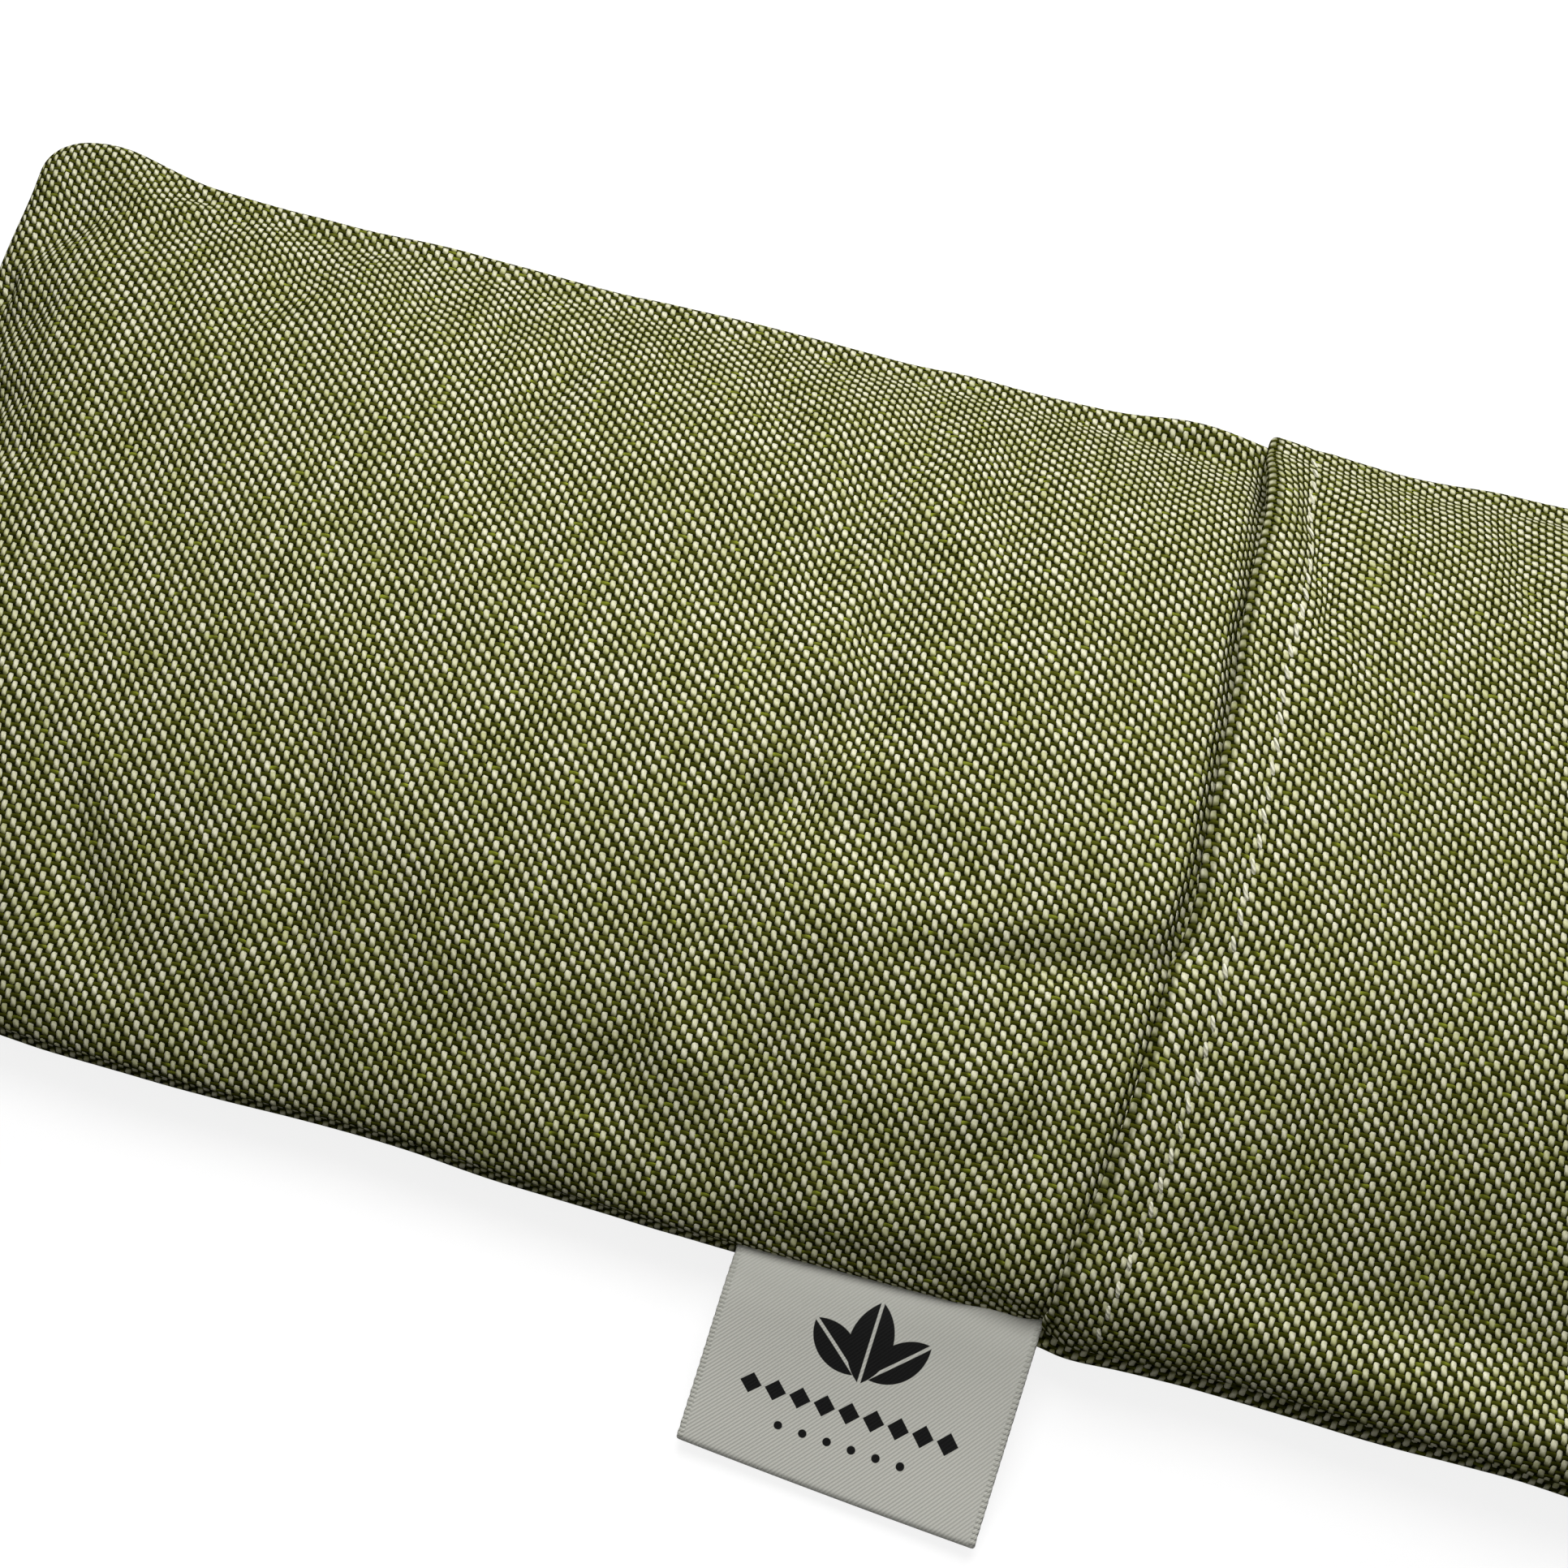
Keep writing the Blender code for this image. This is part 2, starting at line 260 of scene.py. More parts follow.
def wander(points, height, size, seed):
    """Smooth noise of about a height, with features of a size in metres."""
    offset = Vector((seed * 7.31, seed * 3.17, seed * 5.73))
    flat = points.reshape(-1, 3) / size
    values = [noise.noise(Vector(point) + offset) for point in flat]
    return height * np.array(values).reshape(points.shape[:-1])


def eased(count, power):
    """Stations from -1 to 1 that gather at both ends."""
    steps = np.linspace(-1.0, 1.0, count)
    return np.sign(steps) * (1.0 - (1.0 - np.abs(steps)) ** power)


def stations(count, half, focus=None):
    """Stations from -1 to 1 that gather at both seams, and at a focus. Half is half the length."""
    fine = np.linspace(-1.0, 1.0, 4001)
    from_end = (1.0 - np.abs(fine)) * half
    density = 1.0 + 9.0 * np.exp(-from_end / 0.0012) + 1.6 * np.exp(-from_end / 0.008)
    if focus is not None:
        density = density + 3.5 * hill((fine - focus) * half, 0.0035)
    total = np.concatenate([[0.0], np.cumsum((density[1:] + density[:-1]) / 2.0)])
    return np.interp(np.linspace(0.0, total[-1], count), total, fine)


def added(name, data, place=(0.0, 0.0, 0.0)):
    item = bpy.data.objects.new(name, data)
    bpy.context.scene.collection.objects.link(item)
    item.location = place
    return item


def normalised(vectors):
    return vectors / np.maximum(np.linalg.norm(vectors, axis=-1, keepdims=True), 1e-12)


def grid_normals(points):
    """Unit normals of a grid of points, from its own slopes."""
    return normalised(np.cross(np.gradient(points, axis=0), np.gradient(points, axis=1)))


def blurred(field, reach):
    """A grid averaged three times over reach cells to each side."""
    for axis in (0, 0, 0, 1, 1, 1):
        pad = [(0, 0)] * field.ndim
        pad[axis] = (reach, reach)
        wide = np.pad(field, pad, mode="edge")
        windows = np.lib.stride_tricks.sliding_window_view(wide, 2 * reach + 1, axis=axis)
        field = windows.mean(axis=-1)
    return field


def cubic_weight(distance):
    """Weight of a grid point that many cells away, for a smooth curve."""
    d = np.abs(distance)
    near = 1.5 * d ** 3 - 2.5 * d ** 2 + 1.0
    far = -0.5 * d ** 3 + 2.5 * d ** 2 - 4.0 * d + 2.0
    return np.where(d < 1.0, near, np.where(d < 2.0, far, 0.0))


def sample_grid(field, u, v):
    """Smoothly read a grid of vectors, which covers -1 to 1 both ways, at u and v."""
    columns, rows = field.shape[:2]
    x = np.clip((u + 1.0) / 2.0, 0.0, 1.0) * (columns - 1)
    y = np.clip((v + 1.0) / 2.0, 0.0, 1.0) * (rows - 1)
    i = np.clip(np.floor(x).astype(int), 0, columns - 2)
    j = np.clip(np.floor(y).astype(int), 0, rows - 2)
    total = 0.0
    for di in range(-1, 3):
        weight_x = cubic_weight(x - i - di)[..., None]
        column = np.clip(i + di, 0, columns - 1)
        for dj in range(-1, 3):
            weight_y = cubic_weight(y - j - dj)[..., None]
            row = np.clip(j + dj, 0, rows - 1)
            total = total + field[column, row] * weight_x * weight_y
    return total


def arc_lengths(points, axis=0, start=0):
    """Lengths along a line or a grid's lines, counted from the point numbered start."""
    steps = np.linalg.norm(np.diff(points, axis=axis), axis=-1)
    total = np.cumsum(steps, axis=axis)
    zero = np.zeros_like(np.take(total, [0], axis=axis))
    total = np.concatenate([zero, total], axis=axis)
    return total - np.take(total, [start], axis=axis)


# ---- The stuffed form ----

def from_seams(u, v):
    """How far a point is from the nearer end and from the nearer long side."""
    return (1.0 - np.abs(u)) * HALF_X, (1.0 - np.abs(v)) * HALF_Y


def plan(u, v):
    """Length and depth of a point, with the sides drawn in and the corners rounded."""
    from_end, from_side = from_seams(u, v)
    a = np.clip(1.0 - from_end / CORNER_RADIUS, 0.0, 1.0)
    b = np.clip(1.0 - from_side / CORNER_RADIUS, 0.0, 1.0)
    cut_x = a * (1.0 - np.sqrt(1.0 - b * b / 2.0)) * CORNER_RADIUS
    cut_y = b * (1.0 - np.sqrt(1.0 - a * a / 2.0)) * CORNER_RADIUS
    x = u * (HALF_X - END_PULL * (1.0 - v * v)) - np.sign(u) * cut_x
    x = x - LEFT_REACH * ramp(0.0, 1.0, -u)
    y = v * (HALF_Y - SIDE_PULL * (1.0 - u * u)) - np.sign(v) * cut_y
    out = np.where(v > 0.0, profile(x, *BACK_OUTLINE), -profile(x, *FRONT_OUTLINE))
    return x, y + out * v * v


def top_form(u, v):
    x, y = plan(u, v)
    along = np.maximum(1.0 - u * u, 0.0) ** END_ROUNDING
    rounding = SIDE_ROUNDING + FRONT_ROUNDING * ramp(0.0, 0.7, -v)
    across = np.maximum(1.0 - np.abs(v) ** SIDE_POWER, 0.0) ** rounding
    rise = CROWN * (1.0 + LEAN * u) * along * across
    return np.stack([x, y, SEAM_HEIGHT + rise], axis=-1)


def under_form(u, v):
    x, y = plan(u, v)
    from_end, from_side = from_seams(u, v)
    turn_end = np.maximum(0.0, 1.0 - from_end / TURN_UP)
    turn_side = np.maximum(0.0, 1.0 - from_side / TURN_UP)
    height = SEAM_HEIGHT * (1.0 - np.sqrt((1.0 - turn_end ** 2) * (1.0 - turn_side ** 2)))
    return np.stack([x, y, height], axis=-1)


# ---- Cloth simulation ----

def quads_of(index, flip=False):
    """The faces between a grid's points, by their numbers."""
    quads = np.stack([index[:-1, :-1], index[1:, :-1], index[1:, 1:], index[:-1, 1:]], axis=-1)
    quads = quads.reshape(-1, 4)
    return quads[:, ::-1] if flip else quads


def grid_edge(columns, rows):
    """Which points of a grid lie on its edge."""
    edge = np.ones((columns, rows), bool)
    edge[1:-1, 1:-1] = False
    return edge


def closed_mesh(name, top, under):
    """A closed mesh from two grids of points that share their edge."""
    columns, rows = top.shape[:2]
    top_index = np.arange(columns * rows).reshape(columns, rows)
    under_index = top_index.copy()
    inner = np.arange((columns - 2) * (rows - 2)).reshape(columns - 2, rows - 2)
    under_index[1:-1, 1:-1] = inner + columns * rows
    points = np.concatenate([top.reshape(-1, 3), under[1:-1, 1:-1].reshape(-1, 3)])
    faces = np.concatenate([quads_of(top_index), quads_of(under_index, flip=True)])
    mesh = bpy.data.meshes.new(name)
    mesh.from_pydata(points.tolist(), [], faces.tolist())
    mesh.update()
    return mesh, top_index, under_index


def add_cloth(item):
    cloth = item.modifiers.new("Cloth", "CLOTH")
    for key, value in CLOTH_SETTINGS.items():
        setattr(cloth.settings, key, value)
    cloth.settings.effector_weights.gravity = 0.0
    cloth.collision_settings.use_collision = False
    cloth.collision_settings.use_self_collision = False
    cloth.point_cache.frame_start = 1
    cloth.point_cache.frame_end = SIM_FRAMES


def puffed(mesh, pinned):
    """How far each point of a mesh moves as cloth under pressure, with some points pinned."""
    item = added("settling", mesh)
    seam = item.vertex_groups.new(name="seam")
    seam.add(pinned, 1.0, "REPLACE")
    start = np.array([vertex.co for vertex in mesh.vertices])
    add_cloth(item)
    for number in range(1, SIM_FRAMES + 1):
        bpy.context.scene.frame_set(number)
    settled = item.evaluated_get(bpy.context.evaluated_depsgraph_get()).data
    moved = np.zeros(len(settled.vertices) * 3)
    settled.vertices.foreach_get("co", moved)
    bpy.data.objects.remove(item, do_unlink=True)
    bpy.context.scene.frame_set(1)
    return moved.reshape(-1, 3) - start


def settled_moves():
    """How far the top and the underside move in the small folds of a sewn cover that is a little larger
    than the form, on a regular grid of u and v."""
    stations_u = np.linspace(-1.0, 1.0, SIM_COLUMNS)
    stations_v = np.linspace(-1.0, 1.0, SIM_ROWS)
    u, v = np.meshgrid(stations_u, stations_v, indexing="ij")
    mesh, top_index, under_index = closed_mesh("settling", top_form(u, v) * SIM_SCALE,
                                               under_form(u, v) * SIM_SCALE)
    edge = grid_edge(SIM_COLUMNS, SIM_ROWS)
    moved = puffed(mesh, top_index[edge].tolist()) / SIM_SCALE
    moves = []
    for index in (top_index, under_index):
        field = moved[index]
        field = field - blurred(field, SIM_BLUR)
        field[edge] = 0.0
        length = np.linalg.norm(field, axis=-1, keepdims=True)
        moves.append(field * np.minimum(1.0, MOST_MOVED / np.maximum(length, 1e-9)))
    return moves


MOVES = settled_moves()


# ---- The finished surface ----

def outward(u, v):
    """The direction out in plan, and the distance from the seam."""
    from_end, from_side = from_seams(u, v)
    reach = 0.002
    end = np.sign(u) * np.exp(-from_end / reach)
    side = np.sign(v) * np.exp(-from_side / reach)
    length = np.maximum(np.hypot(end, side), 1e-9)
    direction = np.stack([end / length, side / length, np.zeros_like(end)], axis=-1)
    return direction, np.minimum(from_end, from_side)


def share_of_folds(points, u, v, from_seam, upper):
    """How much of the folds stays: less at the corners and, on top, in front and over the flap's front."""
    share = 1.0 - CALM_CORNERS * hill(np.hypot(*from_seams(u, v)), CALM_CORNER_REACH)
    if upper:
        near_front = ramp(0.0, 0.4, -v) * (1.0 - ramp(0.002, 0.016, from_seam))
        over_flap = ramp(0.030, 0.050, points[..., 0]) * ramp(0.010, 0.030, -points[..., 1])
        share = share * (1.0 - CALM_FRONT * near_front) * (1.0 - CALM_FLAP * over_flap)
    return share


def add_lumps(points, inner, upper):
    """Seeds settle in soft lumps, and the top has a few shallow dents."""
    share = inner if upper else inner * ramp(0.0003, 0.004, points[..., 2])
    lumps = TOP_LUMPS if upper else UNDER_LUMPS
    points[..., 2] += sum(wander(points, *lump) for lump in lumps) * share
    for depth, *shape in DENTS if upper else ():
        points[..., 2] -= depth * bump(points[..., 0], points[..., 1], *shape)


def add_puckers(points, direction, from_seam):
    """The seam's line wanders, and small puckers run across it. Returns the moved points."""
    edge = np.exp(-from_seam / PUCKER_REACH)
    flat = points * np.array([1.0, 1.0, 0.0])
    points[..., 2] += wander(flat, *PUCKER) * edge
    return points + direction * (wander(flat, *WANDER) * edge)[..., None]


def add_hollow(points, direction, from_seam, front):
    """Lay the wall above the label back. Returns the moved points."""
    x = points[..., 0]
    behind_label = ramp(-0.001, 0.003, x) * (1.0 - ramp(0.0350, 0.0385, x)) * front
    near_lap = ramp(0.0250, 0.0305, x)
    above = points[..., 2] - SEAM_HEIGHT - HOLLOW_HEIGHT + HOLLOW_DROP * near_lap
    depth = (HOLLOW + HOLLOW_NEAR_LAP * near_lap) * behind_label
    depth = depth * hill(above, HOLLOW_SIZE) * hill(from_seam, HOLLOW_REACH)
    return points - direction * depth[..., None]


def surface(u, v, upper):
    """The cover's outer surface, upper or lower, as points for each u and v."""
    points = top_form(u, v) if upper else under_form(u, v)
    direction, from_seam = outward(u, v)
    share = share_of_folds(points, u, v, from_seam, upper)
    points = points + sample_grid(MOVES[0 if upper else 1], u, v) * share[..., None]
    inner = ramp(0.0, EDGE_OF_LUMPS, from_seam)
    add_lumps(points, inner, upper)
    points = add_puckers(points, direction, from_seam)
    x = points[..., 0]
    shelf = ramp(0.0, 0.5, v) * hill(x - SHELF_X, SHELF_SIZE)
    points[..., 2] += SHELF_HEIGHT * shelf * hill(from_seam, SHELF_REACH)
    if upper:
        slump = ramp(0.030, 0.075, x) * ramp(0.016, 0.046, -points[..., 1])
        points[..., 2] -= SLUMP * slump * inner
    front = ramp(0.0, 0.5, -v)
    points[..., 2] += ROLL * ramp(0.030, 0.100, x) * front * hill(from_seam, ROLL_REACH)
    strip = ramp(0.0325, 0.0380, x) * front * (1.0 - 0.5 * ramp(0.062, 0.090, x))
    points = points - direction * (DRAWN_IN * strip * hill(from_seam, DRAWN_REACH))[..., None]
    if upper:
        points = add_hollow(points, direction, from_seam, front)
    else:
        for out, place, size in SWELLS:
            points = points + direction * (out * strip * hill(from_seam - place, size))[..., None]
    points[..., 2] = np.maximum(points[..., 2], 0.0)
    return points


def seam_groove(u, v, points, seam_points):
    """Draw the points next to the seam in, so that the panels roll into a groove."""
    direction, from_seam = outward(u, v)
    above = points[..., 2] - seam_points[..., 2]
    near = hill(above, GROOVE_HALF_HEIGHT) * hill(from_seam, GROOVE_REACH)
    rolled = ramp(0.026, 0.036, points[..., 0]) * ramp(0.0, 0.5, -v)
    depth = GROOVE_DEPTH + ROLLED_GROOVE * rolled
    return points - direction * (depth * near)[..., None]


def on_seam(u, v):
    """The place on the seam that is nearest to each u and v."""
    from_end, from_side = from_seams(u, v)
    at_end = from_end < from_side
    return np.where(at_end, np.sign(u), u), np.where(at_end, v, np.sign(v))


def lap_shift(v):
    """How far the lap runs right of the line between its ends."""
    return LAP_BOW * (1.0 - v * v) - LAP_SWAY * np.sin(math.pi * v)


def lap_x(v):
    return LAP_X + lap_shift(v)


def lap_following(stations_u, stations_v):
    """A grid of u and v whose columns bow with the lap's line near it."""
    u, v = np.meshgrid(stations_u, stations_v, indexing="ij")
    x = u * HALF_X
    near = ramp(-0.02, LAP_X, x) * (1.0 - ramp(LAP_X, 0.10, x))
    return u + near * lap_shift(v) / HALF_X, v


def cover_grid(stations_u, stations_v, upper):
    u, v = lap_following(stations_u, stations_v)
    points = surface(u, v, upper)
    seam_points = surface(*on_seam(u, v), True)
    edge = grid_edge(*u.shape)
    points[edge] = seam_points[edge]
    return seam_groove(u, v, points, seam_points)


def yarn_coordinates(points, start_u, start_v):
    """Warp and weft counts of each grid point, at the cloth's real yarn pitch."""
    along = arc_lengths(points, 0, start_u)
    # The yarns across the pillow stay nearly straight: each takes up some of its rows' differences.
    along = ROW_SHARE * along + (1.0 - ROW_SHARE) * along.mean(axis=1, keepdims=True)
    across = arc_lengths(points, 1, start_v)
    return np.stack([along, across], axis=-1) / YARN_PITCH


# ---- Making pieces ----

def link(name, data, material, body=BODY):
    item = added(name, data)
    data.materials.append(material)
    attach(item, body)
    return item


def loop_corners(mesh):
    """The vertex number of each face corner."""
    corners = np.zeros(len(mesh.loops), int)
    mesh.loops.foreach_get("vertex_index", corners)
    return corners


def set_yarns(mesh, per_face_corner):
    layer = mesh.uv_layers.new(name="yarns")
    layer.data.foreach_set("uv", per_face_corner.reshape(-1))


def subdivide(item):
    modifier = item.modifiers.new("Smooth cloth", "SUBSURF")
    modifier.levels = 1
    modifier.render_levels = 1
    modifier.boundary_smooth = "PRESERVE_CORNERS"


def closed_piece(name, top, under, material):
    """A closed soft piece from its upper and lower grids, with yarn coordinates."""
    mesh, top_index, under_index = closed_mesh(name, top, under)
    columns, rows = top.shape[:2]
    table = np.zeros((2, len(mesh.vertices), 2))
    for side, (index, points) in enumerate(((top_index, top), (under_index, under))):
        yarns = yarn_coordinates(points, columns // 2, rows // 2)
        table[side][index.reshape(-1)] = yarns.reshape(-1, 2)
    corners = loop_corners(mesh)
    half = (columns - 1) * (rows - 1) * 4
    set_yarns(mesh, np.concatenate([table[0][corners[:half]], table[1][corners[half:]]]))
    mesh.shade_smooth()
    item = link(name, mesh, material)
    subdivide(item)
    return item


def open_piece(name, points, yarns, material, thickness, body=BODY):
    """A sheet of cloth from a grid of points along its middle, with a thickness."""
    columns, rows = points.shape[:2]
    quads = quads_of(np.arange(columns * rows).reshape(columns, rows))
    mesh = bpy.data.meshes.new(name)
    mesh.from_pydata(points.reshape(-1, 3).tolist(), [], quads.tolist())
    set_yarns(mesh, yarns.reshape(-1, 2)[loop_corners(mesh)])
    mesh.shade_smooth()
    item = link(name, mesh, material, body)
    solidify = item.modifiers.new("Cloth thickness", "SOLIDIFY")
    solidify.thickness = thickness
    solidify.offset = 0.0
    subdivide(item)
    return item


def apply_modifiers(item):
    depsgraph = bpy.context.evaluated_depsgraph_get()
    mesh = bpy.data.meshes.new_from_object(item.evaluated_get(depsgraph))
    item.modifiers.clear()
    item.data = mesh


# ---- Cover ----

def add_cover(material):
    stations_u = stations(153, HALF_X, LAP_X / HALF_X)
    stations_v = stations(79, HALF_Y)
    top = cover_grid(stations_u, stations_v, True)
    under = cover_grid(stations_u, stations_v, False)
    u, v = lap_following(stations_u, stations_v)
    _, from_seam = outward(u, v)
    past_fold = top[..., 0] - lap_x(v)
    sunk = SUNK_UNDER_FLAP * ramp(0.0012, 0.0040, past_fold) * ramp(0.0, 0.0008, from_seam)
    valley = sum(depth * hill(past_fold - place, size) for depth, place, size in VALLEYS)
    valley = valley * ramp(0.0, 0.003, from_seam) * (0.52 + 0.48 * ramp(-0.9, 0.0, v))
    top = top - grid_normals(top) * (sunk + valley)[..., None]
    cover = closed_piece("canvas_cover", top, under, material)
    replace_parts(cover, "cover_underside", "cover_left_top")


# ---- Flap ----

def at_length(x, v):
    """The u that lies at length x and depth fraction v."""
    return np.clip(x / (HALF_X - END_PULL * (1.0 - v * v)), -1.0, 1.0)


def surface_normals(u, v):
    slopes = []
    for step_u, step_v in ((0.002 / HALF_X, 0.0), (0.0, 0.0012 / HALF_Y)):
        before, after = [surface(np.clip(u + sign * step_u, -1.0, 1.0),
                                 np.clip(v + sign * step_v, -1.0, 1.0), True)
                         for sign in (-1.0, 1.0)]
        slopes.append(after - before)
    return normalised(np.cross(*slopes))


def hem_columns():
    """How far right of the fold, and off the cover, the hem's columns lie. They run from its hidden edge
    to the fold, round it, and back over the hem."""
    low = 0.5 * CLOTH + PLY_GAP
    high = 1.5 * CLOTH + 2.0 * PLY_GAP
    radius = (high - low) / 2.0
    columns = [(offset, low) for offset in np.linspace(HEM_DEPTH, radius, HEM_UNDER_COLUMNS)[:-1]]
    for angle in np.linspace(0.0, math.pi, HEM_UNDER_COLUMNS):
        columns.append((radius - radius * math.sin(angle), low + radius * (1.0 - math.cos(angle))))
    columns += [(offset, high) for offset in np.linspace(radius, HEM_DEPTH, HEM_TOP_COLUMNS)[1:]]
    return columns


def flap_points(offset, lift, u, v):
    """Lay points of the flap on the cover's top: offset right of the fold, lifted off the surface."""
    _, from_side = from_seams(u, v)
    raised = FOLD_RISE + FOLD_RISE_BEHIND * ramp(-0.9, 0.1, v)
    raised = raised * ramp(-0.0015, 0.0060, from_side) * hill(offset, FOLD_RISE_REACH)
    lift = lift + raised * ramp(0.0, 1.0, lift / CLOTH - 0.5)
    past_hem = ramp(HEM_DEPTH + 0.0005, HEM_DEPTH + STEP_DOWN, offset)
    lift = lift - past_hem * (CLOTH + PLY_GAP)
    furrow = hill(offset - STITCH_INSET, STITCH_FURROW_SIZE) * (lift > CLOTH)
    lift = lift - STITCH_FURROW * furrow
    lift = lift * (1.0 - 0.55 * np.exp(-from_side / 0.0012))
    points = surface(u, v, True)
    points = points + surface_normals(u, v) * lift[..., None]
    return seam_groove(u, v, points, surface(*on_seam(u, v), True))


def add_flap(material):
    hem = hem_columns()
    depths = eased(FLAP_ROWS, 1.7)
    rest = 1.0 - (1.0 - np.linspace(0.0, 1.0, FLAP_COLUMNS)[1:]) ** 1.6
    end = HALF_X - END_PULL * (1.0 - depths ** 2) - lap_x(depths)
    rows = [np.full(len(depths), right) for right, _ in hem]
    rows += [HEM_DEPTH + share * (end - HEM_DEPTH) for share in rest]
    offset = np.array(rows)
    heights = [height for _, height in hem] + [hem[-1][1]] * len(rest)
    lift = np.repeat(np.array(heights)[:, None], len(depths), axis=1)
    v = np.broadcast_to(depths, offset.shape)
    wave = wander(np.stack([v * HALF_Y, v * 0.0, v * 0.0], axis=-1), *FOLD_WAVE)
    x = lap_x(v) + offset + wave * np.exp(-offset / FOLD_WAVE_REACH)
    points = flap_points(offset, lift, at_length(x, v), v)
    yarns = yarn_coordinates(points, len(hem) - HEM_TOP_COLUMNS, len(depths) // 2)
    yarns += np.array([FOLD_COUNT, FOLD_ROW])
    flap = open_piece("canvas_flap", points, yarns, material, CLOTH)
    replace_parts(flap, "cover_right_flap")


# ---- Hem stitches ----

def stitch_line(offset, lift, first_v):
    """A function from the length along a row of stitches to its point and normal, and the row's length."""
    v = np.linspace(-first_v, first_v, 400)
    u = at_length(lap_x(v) + offset, v)
    line = flap_points(np.full(v.shape, offset), np.full(v.shape, lift), u, v)
    normals = surface_normals(u, v)
    lengths = arc_lengths(line)

    def at(place):
        return [np.array([np.interp(place, lengths, values) for values in table.T])
                for table in (line, normals)]

    return at, lengths[-1]


def add_stitch(mesh, at, start, slant):
    """One slanted stitch: a thin rod that bows out of the cloth and thins at both ends."""
    rings = []
    for ring in range(STITCH_RINGS):
        t = ring / (STITCH_RINGS - 1)
        point, normal = at(start + t * STITCH_LENGTH)
        ahead, _ = at(start + t * STITCH_LENGTH + 0.0003)
        forward = (ahead - point) / max(np.linalg.norm(ahead - point), 1e-9)
        side = np.cross(normal, forward)
        rise = STITCH_RISE * math.sin(math.pi * t) ** 0.6 - STITCH_SUNK
        centre = point + normal * rise + side * slant * (2.0 * t - 1.0)
        width = STITCH_RADIUS * (0.35 + 0.65 * math.sin(math.pi * (0.08 + 0.84 * t)) ** 0.5)
        angles = [2.0 * math.pi * corner / STITCH_SIDES for corner in range(STITCH_SIDES)]
        rings.append([mesh.verts.new(centre + (side * math.cos(angle) + normal * math.sin(angle)) * width)
                      for angle in angles])
    for before, after in zip(rings, rings[1:]):
        for corner in range(STITCH_SIDES):
            following = (corner + 1) % STITCH_SIDES
            mesh.faces.new((before[corner], before[following], after[following], after[corner]))
    mesh.faces.new(rings[0][::-1])
    mesh.faces.new(rings[-1])


def add_stitches(name, offset, lift, first_v, material, replaced):
    """A row of separate slanted stitches across the pillow, at an offset from the fold."""
    at, whole_length = stitch_line(offset, lift, first_v)
    generator = np.random.default_rng(STITCH_SEED)
    mesh = bmesh.new()
    for number in range(int(whole_length / STITCH_PITCH)):
        start = (number + 0.2) * STITCH_PITCH + generator.uniform(-0.0002, 0.0002)
        slant = STITCH_SLANT + generator.uniform(-0.00010, 0.00010)
        add_stitch(mesh, at, start, slant)
    data = bpy.data.meshes.new(name)
    bmesh.ops.recalc_face_normals(mesh, faces=mesh.faces)
    mesh.to_mesh(data)
    mesh.free()
    data.shade_smooth()
    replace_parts(link(name, data, material), replaced)


# ---- Label ----

def label_path():
    """The folded ribbon from the side, as (out, up): from the seam to the fold and back."""
    steps = np.linspace(-LABEL_ROOT, LABEL_REACH, 61)
    slopes = LABEL_DROOP * ramp(-0.002, 0.006, steps) + LABEL_BEND * hill(steps - 0.010, 0.006)
    step = steps[1] - steps[0]
    forward = np.stack([np.cos(slopes), -np.sin(slopes)], axis=1)
    upward = np.stack([np.sin(slopes), np.cos(slopes)], axis=1)
    middle = np.concatenate([[[0.0, 0.0]], np.cumsum(forward[:-1] * step, axis=0)])
    middle[:, 0] += steps[0]
    opened = RIBBON_GAP / 2.0 * (0.7 + 0.9 * ramp(0.006, 0.020, steps))[:, None]
    upper = middle + upward * opened
    lower = middle - upward * opened
    tip_out = forward[-1] * opened[-1] * 1.25
    tip_up = upward[-1] * opened[-1]
    fold = [middle[-1] + tip_out * math.cos(angle) + tip_up * math.sin(angle)
            for angle in np.linspace(math.pi / 2.0, -math.pi / 2.0, 11)[1:-1]]
    return np.concatenate([upper, np.array(fold), lower[::-1]])


def label_grid(path, seam_heights, across):
    """The ribbon's points: its side view at each place across it, skewed, turned and curled."""
    along = arc_lengths(path)
    share = 2.0 * across[:, None] / LABEL_WIDTH
    out = path[None, :, 0] * (1.0 + LABEL_SKEW / LABEL_REACH * share)
    attached = 1.0 - ramp(-0.001, 0.006, path[:, 0])
    free = ramp(0.0, LABEL_REACH, path[:, 0])
    tooth = SELVEDGE_TOOTH * np.sin(2.0 * math.pi * along / SELVEDGE_PITCH)
    points = np.zeros((len(across), len(path), 3))
    points[..., 0] = LABEL_X + across[:, None] - LABEL_TURN * out
    points[0, :, 0] -= tooth
    points[-1, :, 0] += tooth
    points[..., 1] = LABEL_HINGE_Y - out + LABEL_TURN * across[:, None]
    points[..., 2] = SEAM_HEIGHT + path[:, 1] + attached * (seam_heights[:, None] - SEAM_HEIGHT)
    points[..., 2] += free * 0.0005 * share ** 2
    lowest = points[..., 2].min() - RIBBON
    points[..., 2] -= min(0.0, lowest) * free
    uv = np.stack(np.broadcast_arrays(across[:, None], along - LABEL_ROOT), axis=-1)
    return points, uv


def add_label(material):
    across = eased(LABEL_COLUMNS, 1.3) * LABEL_WIDTH / 2.0
    front = np.full(across.shape, -1.0)
    seam = surface(at_length(LABEL_X + across, front), front, True)
    points, uv = label_grid(label_path(), seam[:, 2], across)
    label = open_piece("ribbon_label", points, uv, material, RIBBON, body="label")
    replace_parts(label, "label")
    apply_modifiers(label)
    label.parent = None
    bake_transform(label)


# ---- Inner bag and seeds ----

